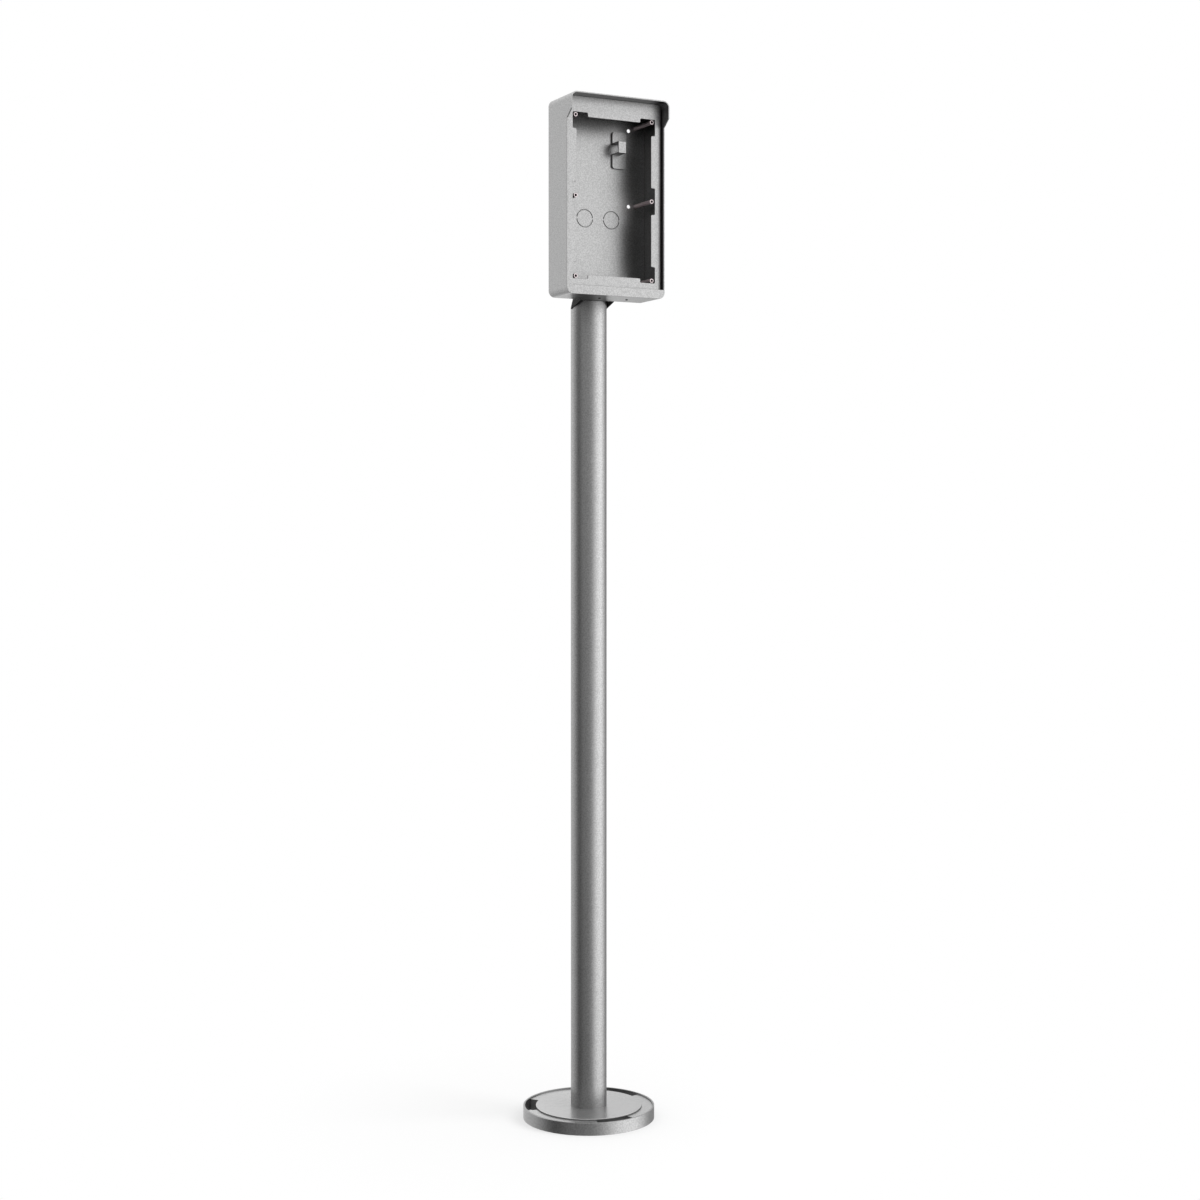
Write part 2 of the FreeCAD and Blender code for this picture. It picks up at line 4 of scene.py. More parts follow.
import bmesh
import bpy
from mathutils import Matrix, Vector


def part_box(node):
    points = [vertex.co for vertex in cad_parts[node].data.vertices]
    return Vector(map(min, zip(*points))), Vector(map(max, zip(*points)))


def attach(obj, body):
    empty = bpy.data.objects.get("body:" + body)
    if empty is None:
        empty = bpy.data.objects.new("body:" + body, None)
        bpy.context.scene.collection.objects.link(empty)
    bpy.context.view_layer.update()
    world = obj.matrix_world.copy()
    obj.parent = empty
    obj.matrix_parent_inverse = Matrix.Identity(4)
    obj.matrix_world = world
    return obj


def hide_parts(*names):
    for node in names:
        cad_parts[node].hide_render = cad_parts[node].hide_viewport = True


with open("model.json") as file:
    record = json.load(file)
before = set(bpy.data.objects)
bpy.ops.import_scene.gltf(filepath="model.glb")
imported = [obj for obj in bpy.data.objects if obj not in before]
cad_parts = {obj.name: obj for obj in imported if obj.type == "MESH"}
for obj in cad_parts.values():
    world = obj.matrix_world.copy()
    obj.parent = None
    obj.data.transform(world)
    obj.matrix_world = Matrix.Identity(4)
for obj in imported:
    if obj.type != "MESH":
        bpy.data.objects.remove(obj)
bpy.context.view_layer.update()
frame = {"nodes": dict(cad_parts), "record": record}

# The camera stands left of the front, just under a metre up. Its heading and tilt are
# in degrees, its lens and sensor in millimetres, and its rise is a share of the sensor.
CAMERA_PLACE = (-1.5260, -2.9934, 0.9689)
CAMERA_HEADING = 27.335
CAMERA_TILT = 0.799
CAMERA_LENS = 60.19
CAMERA_SENSOR = 36.0
CAMERA_RISE = -0.0266

# Round studio that the metal mirrors. Each stop is an angle from the front, to the
# right, and the tones there in its lower and in its upper part.
STUDIO_RADIUS = 7.0
STUDIO_LOW = -4.0
STUDIO_HIGH = 5.0
STUDIO_TONES = (
    (-180, 0.75, 0.91),
    (-165, 0.68, 0.86),
    (-150, 0.70, 0.84),
    (-135, 0.62, 0.74),
    (-120, 0.46, 0.50),
    (-105, 0.25, 0.25),
    (-93, 0.08, 0.06),
    (-82, 0.09, 0.10),
    (-72, 0.17, 0.24),
    (-60, 0.23, 0.31),
    (-30, 0.26, 0.30),
    (-11, 0.38, 0.36),
    (5, 0.80, 0.60),
    (20, 1.30, 1.06),
    (35, 1.48, 1.38),
    (52, 1.52, 1.70),
    (64, 1.46, 1.74),
    (74, 1.16, 1.24),
    (85, 0.78, 0.76),
    (97, 0.46, 0.42),
    (112, 0.32, 0.28),
    (135, 0.36, 0.27),
    (147, 0.62, 0.37),
    (156, 1.20, 0.64),
    (168, 0.98, 0.80),
    (180, 0.75, 0.91),
)
STUDIO_LOWER_END = -0.7
STUDIO_UPPER_START = 1.6
STUDIO_SKY = 0.95
STUDIO_SKY_START = 3.6
STUDIO_PIT_TOP = -1.6
STUDIO_PIT_END = -3.4
STUDIO_PIT_SHARE = 0.4

# How much of the studio is left after one bounce more than a plain reflection, and
# after any number more
SECOND_BOUNCE_SHARE = 0.36
DEEP_BOUNCE_SHARE = 0.14

AMBIENT_LEVEL = 0.82
KEY_LAMP_PLACE = (2.6, -2.4, 3.2)
KEY_LAMP_TARGET = (0, 0, 0.9)
KEY_LAMP_SIZE = 2.4
KEY_LAMP_POWER = 90
FLOOR_RADIUS = 2.6
FLOOR_TONE = 0.95
FLOOR_FADE_START = 0.16
FLOOR_FADE_END = 0.6
FLOOR_WHITE_SHARE = 0.55
STAGE_SIDES = 96

# Blasted steel: how wide its clouds, speckles and grain are, how much of its tone the
# clouds make up, where a speckle starts and ends, and what they add to the roughness
CLOUD_SIZE = 0.09
CLOUD_SHARE = 0.2
CLOUD_ROUGHNESS = 0.05
SPECKLE_SIZE = 0.0021
SPECKLE_LOW = 0.38
SPECKLE_HIGH = 0.62
GRAIN_SIZE = 0.0006
GRAIN_ROUGHNESS = 0.08

# The front frame gets painted shade towards its right rim, next to the head's wall
RIM_SHADE_WIDTH = 0.0075
RIM_SHADE_SHARE = 0.75
RIM_SHADE_TONE = 0.02

# The top of a turned foot piece fades into its wall, which has painted shade, between these depths
TOP_END = 0.00032
WALL_START = 0.0008
TOP_METAL = 0.88
WALL_ROUGHNESS = 0.3

# Plated steel, dark and light: its plain colour, and a lighter copy as a painted highlight on a
# standoff's front face
PLATED_COLOURS = ((0.74, 0.63, 0.645, 1.0), (0.84, 0.725, 0.74, 1.0))
FACE_HIGHLIGHT_COLOURS = ((0.92, 0.81, 0.825, 1.0), (1.0, 0.89, 0.905, 1.0))
PLATED_GRAIN = 0.0005
PLATED_METAL = 0.88
# Tones of painted shade: inside bores and sockets, and on a standoff's side next to a wall
BORE_SHADE_TONE = 0.002
WALL_GAP_SHADE_TONE = 0.1

# How much the edges of each of these pieces are rounded
EDGE_RADII = {
    "head_shell": 0.00035,
    "front_frame": 0.0003,
    "back_plate": 0.0003,
    "cable_bridge": 0.0003,
    "base_plate": 0.0003,
    "saddle_bracket": 0.0003,
    "neck_cover": 0.0003,
    "cable_grommet": 0.0007,
}
EDGE_STEPS = 2
MERGE_REACH = 0.000002
FLAT_TURN = math.radians(0.6)
SHARP_TURN = math.radians(30)
ACUTE_MEETING = math.radians(25)

# Outer radius of the cable bridge's front folds in the solid, and in the scene
BRIDGE_BEND = 0.002
BRIDGE_CREASE = 0.0007
BRIDGE_BEND_REACH = 0.0001

# Fasteners. What they measure over all comes from the frame. Flats and sockets are
# measured across, and heads, faces, shanks, roots, tips, bores and mouths are radii.
# Points inside a bore or a socket have the attribute INSIDE at 1, where plated steel gets painted
# shade.
INSIDE = "inside"
TURNED_SIDES = 48
THREAD_ROWS = 6
HEX_CHAMFER = math.radians(30)
HEX_CROWN = 0.95
FLAT_MIDDLE = 0.3

BOLT_FLATS = 0.009
BOLT_HEAD_HEIGHT = 0.0035
BOLT_SHANK = 0.0025
BOLT_ROOT = 0.85 * BOLT_SHANK
BOLT_TIP = 0.8 * BOLT_SHANK
BOLT_PITCH = 0.0008
NUT_FLATS = 0.008
NUT_BORE = 1.02 * BOLT_SHANK
NUT_MOUTH = 1.15 * BOLT_SHANK

# The dome of the frame screws is given in shares of the head's radius and height
FRAME_SCREW_HEAD = 0.002
FRAME_SCREW_HEAD_HEIGHT = 0.0012
FRAME_SCREW_DOME = ((0.74, 1.0), (0.92, 0.84), (1.0, 0.5), (1.0, 0.0))
FRAME_SCREW_SOCKET = 0.0017
FRAME_SCREW_SOCKET_FLOOR = 0.45 * FRAME_SCREW_HEAD_HEIGHT
FRAME_SCREW_SHANK = 0.0015
FRAME_SCREW_ROOT = 0.84 * FRAME_SCREW_SHANK
FRAME_SCREW_TIP = 0.75 * FRAME_SCREW_SHANK
FRAME_SCREW_PITCH = 0.0005
FRAME_SCREW_THREAD_START = 0.0003
FRAME_SCREW_THREAD_RUNOUT = 0.0004

FOOT_SCREW_COUNT = 3
FOOT_SCREW_HEAD = 0.005
FOOT_SCREW_FACE = 0.98 * FOOT_SCREW_HEAD
FOOT_SCREW_RIM = 0.0001
FOOT_SCREW_SOCKET = 0.003
FOOT_SCREW_SOCKET_SHARE = 0.7
FOOT_SCREW_SHANK = 0.0025
FOOT_SCREW_ROOT = 0.85 * FOOT_SCREW_SHANK
FOOT_SCREW_TIP = 0.8 * FOOT_SCREW_SHANK
FOOT_SCREW_THREAD_START = 0.0005
FOOT_SCREW_THREAD_RUNOUT = 0.0006

STANDOFF_BORE = 0.00165
STANDOFF_BORE_MIDDLE = 0.15 * STANDOFF_BORE
STANDOFF_BORE_DEPTH = 0.020
STANDOFF_ROOT = 0.002
STANDOFF_PITCH = 0.0007
STANDOFF_THREAD_DEPTH = 0.009
STANDOFF_MOUTH = 0.0022
STANDOFF_FACE = 1.02 * STANDOFF_MOUTH
STANDOFF_CHAMFER = 0.0003
STANDOFF_REAR_CHAMFER = STANDOFF_CHAMFER / 2

# Pieces whose finish differs from the rest of their material slot
OWN_FINISHES = {
    "foot_disc": "disc_steel",
    "base_plate": "plate_steel",
    "cover_ring": "ring_steel",
    "front_frame": "frame_steel",
    "frame_screws": "black_plate",
}


class Value:
    """What a node gives at each point. A number takes plain arithmetic."""

    def __init__(self, shading, socket):
        self.shading = shading
        self.socket = socket

    def through(self, operation, *others):
        """The result of one Math node on this number and others."""
        made = self.shading.node(
            "ShaderNodeMath", {"operation": operation}, dict(enumerate((self,) + others)))
        return Value(self.shading, made.outputs[0])

    def __add__(self, other):
        return self.through("ADD", other)

    def __radd__(self, other):
        return self.through("ADD", other)

    def __sub__(self, other):
        return self.through("SUBTRACT", other)

    def __rsub__(self, other):
        return self.shading.number(other).through("SUBTRACT", self)

    def __mul__(self, other):
        return self.through("MULTIPLY", other)

    def __rmul__(self, other):
        return self.through("MULTIPLY", other)

    def __truediv__(self, other):
        return self.through("DIVIDE", other)


class Shading:
    """A node tree under construction, of a material or of the world."""

    def __init__(self, owner):
        owner.use_nodes = True
        self.tree = owner.node_tree
        self.tree.nodes.clear()

    def node(self, kind, settings=None, sockets=None):
        """A node of any kind, with its settings set before its sockets."""
        made = self.tree.nodes.new(kind)
        for name, value in (settings or {}).items():
            if name == "stops":
                self.set_stops(made.color_ramp, value)
            else:
                setattr(made, name, value)
        for name, value in (sockets or {}).items():
            if isinstance(value, Value):
                self.tree.links.new(value.socket, made.inputs[name])
            else:
                made.inputs[name].default_value = value
        return made

    def set_stops(self, ramp, stops):
        """Gives a ramp its stops, each a place from 0 to 1 and a grey tone."""
        while len(ramp.elements) < len(stops):
            ramp.elements.new(1.0)
        for element, (place, tone) in zip(ramp.elements, stops):
            element.position = place
            element.color = (tone, tone, tone, 1.0)

    def value(self, kind, output, settings=None, sockets=None):
        """One output of a new node."""
        return Value(self, self.node(kind, settings, sockets).outputs[output])

    def number(self, amount):
        """A plain number as a value, from which another one can be taken."""
        return self.value("ShaderNodeMath", 0, {"operation": "ADD"}, {0: amount, 1: 0.0})

    def place(self):
        """Where a point lies on the object, in metres."""
        return self.value("ShaderNodeTexCoord", "Object")

    def coordinates(self):
        """How far a point lies to the right, to the rear and up."""
        split = self.node("ShaderNodeSeparateXYZ", {}, {0: self.place()})
        return [Value(self, split.outputs[axis]) for axis in "XYZ"]

    def noise(self, size, detail=2.0, roughness=0.5):
        """A cloudy pattern from 0 to 1 whose patches are about size metres wide."""
        return self.value("ShaderNodeTexNoise", "Fac", {}, {
            "Vector": self.place(), "Scale": 1 / size, "Detail": detail, "Roughness": roughness})

    def ramp_between(self, value, low, high):
        """Rises smoothly from 0 to 1 while a value goes from low to high."""
        return self.value("ShaderNodeMapRange", 0, {"interpolation_type": "SMOOTHSTEP"}, {
            "Value": value, "From Min": low, "From Max": high})

    def mixed_colour(self, factor, first, second):
        """Goes from the first colour to the second as the factor rises from 0 to 1."""
        made = self.node("ShaderNodeMix", {"data_type": "RGBA"}, {0: factor, 6: first, 7: second})
        return Value(self, made.outputs[2])


class Finish(Shading):
    """A material under construction: its nodes and the shader that they feed."""

    def __init__(self, name):
        self.material = bpy.data.materials.new(name)
        super().__init__(self.material)

    def end_with(self, shader):
        self.node("ShaderNodeOutputMaterial", {}, {"Surface": shader})
        return self.material

    def end_with_principled(self, sockets):
        return self.end_with(self.value("ShaderNodeBsdfPrincipled", "BSDF", {}, sockets))


def tone(level):
    """A grey as a colour."""
    return (level, level, level, 1.0)


def steel(name, dark, light, roughness):
    """Fine blasted stainless steel: faint clouds, and a grain that shows close up.

    Gives the finish, and what the shader's sockets take.
    """
    finish = Finish(name)
    clouds = finish.noise(CLOUD_SIZE, detail=3.0)
    speckle = finish.noise(SPECKLE_SIZE, detail=3.0, roughness=0.7)
    grain = finish.noise(GRAIN_SIZE, roughness=0.6)
    speckled = finish.ramp_between(speckle, SPECKLE_LOW, SPECKLE_HIGH)
    spread = clouds * CLOUD_SHARE + speckled * (1 - CLOUD_SHARE)
    bump = finish.value("ShaderNodeBump", "Normal", {}, {
        "Strength": 0.2, "Distance": 0.0002, "Height": 0.5 * grain + 0.5 * speckle})
    return finish, {
        "Base Color": finish.mixed_colour(spread, tone(dark), tone(light)), "Metallic": 1.0,
        "Roughness": roughness + CLOUD_ROUGHNESS * clouds + GRAIN_ROUGHNESS * grain, "Normal": bump}


def satin_steel():
    """The sheet metal and the tube."""
    finish, sockets = steel("satin_steel", dark=0.41, light=0.60, roughness=0.285)
    return finish.end_with_principled(sockets)


def frame_steel():
    """The front frame, a little coarser than the rest of the head, with painted shade towards its right
    rim.
    """
    finish, sockets = steel("frame_steel", dark=0.43, light=0.61, roughness=0.33)
    to_right = finish.coordinates()[0]
    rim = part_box("front_frame")[1][0]
    # Painted shade: the colour darkens towards the right rim
    rim_shade = finish.ramp_between(to_right, rim - RIM_SHADE_WIDTH, rim)
    sockets["Base Color"] = finish.mixed_colour(RIM_SHADE_SHARE * rim_shade, sockets["Base Color"], tone(RIM_SHADE_TONE))
    return finish.end_with_principled(sockets)


def turned_steel(name, node_name, wall_shade_tone, wall_metal):
    """The turned foot, a brighter and smoother steel. Its walls have painted shade, darker and less
    metallic than its top.
    """
    finish, sockets = steel(name, dark=0.76, light=0.92, roughness=0.21)
    height = finish.coordinates()[2]
    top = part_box(node_name)[1][2]
    on_top = finish.ramp_between(height, top - WALL_START, top - TOP_END)
    # Painted shade on the walls below the top
    sockets["Base Color"] = finish.mixed_colour(on_top, tone(wall_shade_tone), sockets["Base Color"])
    sockets["Metallic"] = wall_metal + (TOP_METAL - wall_metal) * on_top
    sockets["Roughness"] = sockets["Roughness"] + WALL_ROUGHNESS * (1 - on_top)
    return finish.end_with_principled(sockets)


def ring_steel():
    """The cover ring, smoother than the sheet metal."""
    finish, sockets = steel("ring_steel", dark=0.46, light=0.66, roughness=0.26)
    return finish.end_with_principled(sockets)


def plated_steel():
    """Plated turned steel, a little pink and duller than the sheet, with painted shade in its bores and
    sockets.

    The standoffs' front faces have a painted highlight, a lighter copy of the colour, and painted shade
    darkens their sides next to the head's walls.
    """
    finish = Finish("plated_steel")
    grain = finish.noise(PLATED_GRAIN, roughness=0.6)
    plain = finish.mixed_colour(grain, *PLATED_COLOURS)
    bright = finish.mixed_colour(grain, *FACE_HIGHLIGHT_COLOURS)
    to_right, to_rear = finish.coordinates()[:2]
    low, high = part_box("standoff_upper_right")
    axis = (low[0] + high[0]) / 2
    behind_face = finish.ramp_between(
        to_rear, low[1] + STANDOFF_CHAMFER, low[1] + 3 * STANDOFF_CHAMFER)
    wall_gap_shade = finish.ramp_between(
        to_right.through("ABSOLUTE"), axis, axis + 2 * STANDOFF_CHAMFER)
    # Painted highlight: a lighter copy of the colour on the standoffs' front faces
    colour = finish.mixed_colour(behind_face, bright, plain)
    # Painted shade on the standoffs' outer sides, in the gap next to the head's walls
    colour = finish.mixed_colour(behind_face * wall_gap_shade, colour, tone(WALL_GAP_SHADE_TONE))
    # Painted shade inside bores and sockets, which also lose their metal there
    inside = finish.value("ShaderNodeAttribute", "Fac", {"attribute_name": INSIDE})
    return finish.end_with_principled({
        "Base Color": finish.mixed_colour(inside, colour, tone(BORE_SHADE_TONE)),
        "Metallic": PLATED_METAL * (1 - inside), "Specular IOR Level": 0.0,
        "Roughness": 0.44 + 0.12 * grain})


def black_plate():
    """Black plated steel, on the two small screws under the head."""
    finish = Finish("black_plate")
    grain = finish.noise(PLATED_GRAIN, roughness=0.6)
    return finish.end_with_principled({
        "Base Color": finish.mixed_colour(grain, tone(0.03), tone(0.05)),
        "Metallic": 0.6, "Roughness": 0.4 + 0.12 * grain})


def dark_paint():
    """Matte dark paint with a fine orange peel, a little uneven in tone."""
    finish = Finish("dark_paint")
    peel = finish.noise(size=0.0012)
    clouds = finish.noise(size=0.012, detail=3.0, roughness=0.6)
    bump = finish.value("ShaderNodeBump", "Normal", {}, {
        "Strength": 0.2, "Distance": 0.0003, "Height": peel})
    return finish.end_with_principled({
        "Base Color": finish.mixed_colour(0.6 * peel + 0.4 * clouds, tone(0.036), tone(0.056)),
        "Specular IOR Level": 0.04, "Roughness": 0.6 + 0.15 * peel, "Normal": bump})


def grommet_rubber():
    """Matte moulded rubber."""
    finish = Finish("grommet_rubber")
    mould = finish.noise(size=0.0009)
    return finish.end_with_principled({
        "Base Color": finish.mixed_colour(mould, tone(0.016), tone(0.024)),
        "Roughness": 0.62 + 0.12 * mould})


def give_material(piece, material):
    piece.data.materials.clear()
    piece.data.materials.append(material)


def dress_nodes():
    """Makes the finishes and gives each CAD node the one that is its own."""
    finishes = {
        "satin_steel": satin_steel(),
        "plated_steel": plated_steel(),
        "dark_paint": dark_paint(),
        "grommet_rubber": grommet_rubber(),
        # The foot pieces' wall tones are painted shade
        "plate_steel": turned_steel("plate_steel", "base_plate", wall_shade_tone=0.15, wall_metal=0.35),
        "disc_steel": turned_steel("disc_steel", "foot_disc", wall_shade_tone=0.22, wall_metal=0.8),
        "ring_steel": ring_steel(),
        "frame_steel": frame_steel(),
        "black_plate": black_plate(),
    }
    for subpart in frame["record"]["subparts"]:
        name = subpart["node"]
        give_material(frame["nodes"][name], finishes[finish_of(name)])
    return finishes


def finish_of(node_name):
    """A node's own finish where it has one, or else that of its material slot."""
    return OWN_FINISHES.get(node_name, slot_of(node_name))


def slot_of(node_name):
    """The material slot that the record gives a node."""
    for subpart in frame["record"]["subparts"]:
        if subpart["node"] == node_name:
            return subpart["material_slot"]


def new_object(name, mesh):
    made = bpy.data.objects.new(name, mesh)
    bpy.context.scene.collection.objects.link(made)
    return made


def piece_from(mesh_tool, name):
    """A new object with the shape that a bmesh holds."""
    mesh = bpy.data.meshes.new(name)
    mesh_tool.to_mesh(mesh)
    mesh_tool.free()
    return new_object(name, mesh)


def baked(source, name):
    """The finished shape of an object as a plain mesh in a new object."""
    graph = bpy.context.evaluated_depsgraph_get()
    mesh = bpy.data.meshes.new_from_object(source.evaluated_get(graph))
    bpy.data.objects.remove(source)
    return new_object(name, mesh)


def stands_for(piece, material, *nodes):
    """Puts a piece in the place of CAD nodes, with their finish."""
    give_material(piece, material)
    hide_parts(*nodes)
    slot_of(nodes[0])
    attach(piece, "root")


def meets_acutely(edge):
    """Whether a sharp edge runs into another one at an angle too small for a round."""
    for vert in edge.verts:
        along = edge.other_vert(vert).co - vert.co
        for other in vert.link_edges:
            if other is edge or other.smooth:
                continue
            if along.angle(other.other_vert(vert).co - vert.co) < ACUTE_MEETING:
                return True
    return False


def closed_copy(node_name):
    """A CAD node's shape with its loose triangles joined and its flat faces whole.

    The sharp edges that can be rounded have a bevel weight.
    """
    tool = bmesh.new()
    tool.from_mesh(frame["nodes"][node_name].data)
    bmesh.ops.remove_doubles(tool, verts=tool.verts, dist=MERGE_REACH)
    bmesh.ops.dissolve_limit(
        tool, angle_limit=FLAT_TURN, verts=tool.verts, edges=tool.edges, use_dissolve_boundaries=False)
    for face in tool.faces:
        face.smooth = True
    for edge in tool.edges:
        edge.smooth = edge.calc_face_angle(0.0) < SHARP_TURN
    weight = tool.edges.layers.float.new("bevel_weight_edge")
    for edge in tool.edges:
        edge[weight] = 0.0 if edge.smooth or meets_acutely(edge) else 1.0
    copy = piece_from(tool, node_name + "_copy")
    own_normals = copy.data.attributes.get("custom_normal")
    if own_normals:
        copy.data.attributes.remove(own_normals)
    return copy


def crease_strap(mesh):
    """Folds the front of the cable bridge's strap more sharply than the solid does.

    Each point of a fold keeps its turn and moves out to a smaller arc.
    """
    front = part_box("cable_bridge")[0][1]
    heights = [vert.co.z for vert in mesh.vertices if vert.co.y < front + MERGE_REACH]
    share = BRIDGE_CREASE / BRIDGE_BEND
    for centre, side in ((min(heights), -1), (max(heights), 1)):
        for vert in mesh.vertices:
            back = vert.co.y - front - BRIDGE_BEND
            out = side * (vert.co.z - centre)
            on_bend = abs(math.hypot(back, out) - BRIDGE_BEND) < BRIDGE_BEND_REACH
            if on_bend and back < MERGE_REACH and out > -MERGE_REACH:
                vert.co.y = front + BRIDGE_CREASE + share * back
                vert.co.z = centre + side * (BRIDGE_BEND - BRIDGE_CREASE + share * out)


def soften_edges(node_name, radius, material):
    """Rounds the sharp edges of one piece, as after deburring."""
    copy = closed_copy(node_name)
    if node_name == "cable_bridge":
        crease_strap(copy.data)
    bevel = copy.modifiers.new("edges", "BEVEL")
    bevel.width = radius
    bevel.segments = EDGE_STEPS
    bevel.limit_method = "WEIGHT"
    bevel.use_clamp_overlap = False
    normals = copy.modifiers.new("normals", "WEIGHTED_NORMAL")
    normals.keep_sharp = True
    stands_for(baked(copy, node_name + "_piece"), material, node_name)


def hexagon_radius(flats):
    """How far out a hexagon's side lies at each turn, with a flat at turn 0."""
    sixth = math.radians(60)

    def radius(turn):
        return flats / 2 / math.cos((turn + sixth / 2) % sixth - sixth / 2)
    return radius


def at_turn(value, turn):
    """A radius or a height, which may be a rule that depends on the turn."""
    return value(turn) if callable(value) else value


def turned_piece(name, rings, inside, closed=False):
    """A shape turned about Z from (radius, height) rings. Either may depend on the turn.

    The rings before the given count are inside a bore or a socket.
    """
    tool = bmesh.new()
    deep = tool.verts.layers.float.new(INSIDE)
    rows = []
    for radius, height in rings:
        row = []
        for side in range(TURNED_SIDES):
            turn = 2 * math.pi * side / TURNED_SIDES
            out = at_turn(radius, turn)
            row.append(tool.verts.new(
                (out * math.cos(turn), out * math.sin(turn), at_turn(height, turn))))
        for vert in row:
            vert[deep] = 1.0 if len(rows) < inside else 0.0
        rows.append(row)
    pairs = list(zip(rows, rows[1:]))
    if closed:
        pairs.append((rows[-1], rows[0]))
    else:
        tool.faces.new(list(reversed(rows[0])))
        tool.faces.new(rows[-1])
    for lower, upper in pairs:
        for side in range(TURNED_SIDES):
            after = (side + 1) % TURNED_SIDES
            tool.faces.new((lower[side], lower[after], upper[after], upper[side]))
    bmesh.ops.recalc_face_normals(tool, faces=tool.faces)
    for face in tool.faces:
        face.smooth = True
    for edge in tool.edges:
        edge.smooth = edge.calc_face_angle(0.0) < SHARP_TURN
    return piece_from(tool, name)


def thread(crest, root, pitch, start, end):
    """Rings of a helical thread between two heights."""
    rows = max(2, round((end - start) / pitch * THREAD_ROWS))
    rings = []
    for row in range(rows + 1):
        height = start + (end - start) * row / rows

        def radius(turn, height=height):
            phase = (height / pitch - turn / (2 * math.pi)) % 1.0
            return root + (crest - root) * abs(2 * phase - 1)
        rings.append((radius, height))
    return rings


def hexagon_side(flats, crown_height, towards):
    """The chamfered end of a hexagon, from its crown to its side."""
    side = hexagon_radius(flats)
    crown = HEX_CROWN * flats / 2

    def side_height(turn):
        return crown_height - towards * (side(turn) - crown) * math.tan(HEX_CHAMFER)
    return [(crown, crown_height), (side, side_height)]


def bolt_template():
    """A hexagon bolt along Z, with its seat at 0 and its head below."""
    low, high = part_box("head_bolts")
    end = high[1] - low[1] - BOLT_HEAD_HEIGHT
    side = hexagon_radius(BOLT_FLATS)
    rings = [(FLAT_MIDDLE * BOLT_FLATS, -BOLT_HEAD_HEIGHT)]
    rings += hexagon_side(BOLT_FLATS, -BOLT_HEAD_HEIGHT, -1)
    rings += [(side, 0.0), (BOLT_SHANK, 0.0)]
    rings += thread(BOLT_SHANK, BOLT_ROOT, BOLT_PITCH, BOLT_PITCH, end - BOLT_PITCH)
    rings.append((BOLT_TIP, end))
    return turned_piece("bolt", rings, 0)


def nut_template():
    """A hexagon nut along Z, with its seat at 0."""
    low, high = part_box("neck_nuts")
    height = high[1] - low[1]
    rings = [(NUT_BORE, 0.0), (hexagon_radius(NUT_FLATS), 0.0)]
    rings += reversed(hexagon_side(NUT_FLATS, height, 1))
    rings += [(NUT_MOUTH, height), (NUT_BORE, height - (NUT_MOUTH - NUT_BORE))]
    return turned_piece("nut", rings, 0, closed=True)


def socket(flats, floor_height, mouth_height):
    """A hexagon socket from the middle of its floor to its mouth, as in a screw's head."""
    side = hexagon_radius(flats)
    return [(FLAT_MIDDLE * flats, floor_height), (side, floor_height), (side, mouth_height)]


def frame_screw_template():
    """A domed screw along Z, with its seat at 0 and its head below."""
    low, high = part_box("frame_screws")
    end = high[2] - low[2] - FRAME_SCREW_HEAD_HEIGHT
    rings = socket(FRAME_SCREW_SOCKET, -FRAME_SCREW_SOCKET_FLOOR, -FRAME_SCREW_HEAD_HEIGHT)
    rings += [(out * FRAME_SCREW_HEAD, -up * FRAME_SCREW_HEAD_HEIGHT) for out, up in FRAME_SCREW_DOME]
    rings.append((FRAME_SCREW_SHANK, 0.0))
    rings += thread(
        FRAME_SCREW_SHANK, FRAME_SCREW_ROOT, FRAME_SCREW_PITCH,
        FRAME_SCREW_THREAD_START, end - FRAME_SCREW_THREAD_RUNOUT)
    rings.append((FRAME_SCREW_TIP, end))
    return turned_piece("frame_screw", rings, 2)


def foot_screw_template():
    """A countersunk screw along Z, with the face of its head at 0."""
    low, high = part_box("foot_screws")
    end = high[2] - low[2]
    cone_end = FOOT_SCREW_HEAD - FOOT_SCREW_SHANK
    rings = socket(FOOT_SCREW_SOCKET, FOOT_SCREW_SOCKET_SHARE * cone_end, 0.0)
    rings += [(FOOT_SCREW_FACE, 0.0), (FOOT_SCREW_HEAD, FOOT_SCREW_RIM), (FOOT_SCREW_SHANK, cone_end)]
    rings += thread(
        FOOT_SCREW_SHANK, FOOT_SCREW_ROOT, BOLT_PITCH,
        cone_end + FOOT_SCREW_THREAD_START, end - FOOT_SCREW_THREAD_RUNOUT)
    rings.append((FOOT_SCREW_TIP, end))
    return turned_piece("foot_screw", rings, 2)


def standoff_template():
    """A bored and threaded standoff along Z, with its front face at 0."""
    low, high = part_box("standoff_upper_left")
    radius = (high[0] - low[0]) / 2
    length = high[1] - low[1]
    rings = [(STANDOFF_BORE_MIDDLE, STANDOFF_BORE_DEPTH)]
    rings += [(STANDOFF_BORE, STANDOFF_BORE_DEPTH), (STANDOFF_BORE, STANDOFF_THREAD_DEPTH)]
    rings += reversed(thread(
        STANDOFF_BORE, STANDOFF_ROOT, STANDOFF_PITCH, STANDOFF_REAR_CHAMFER, STANDOFF_THREAD_DEPTH))
    rings.append((STANDOFF_MOUTH, 0.0))
    inside = len(rings)
    rings += [(STANDOFF_FACE, 0.0), (radius - STANDOFF_CHAMFER, 0.0), (radius, STANDOFF_CHAMFER)]
    rings += [(radius, length - STANDOFF_REAR_CHAMFER), (radius - STANDOFF_REAR_CHAMFER, length)]
    return turned_piece("standoff", rings, inside)


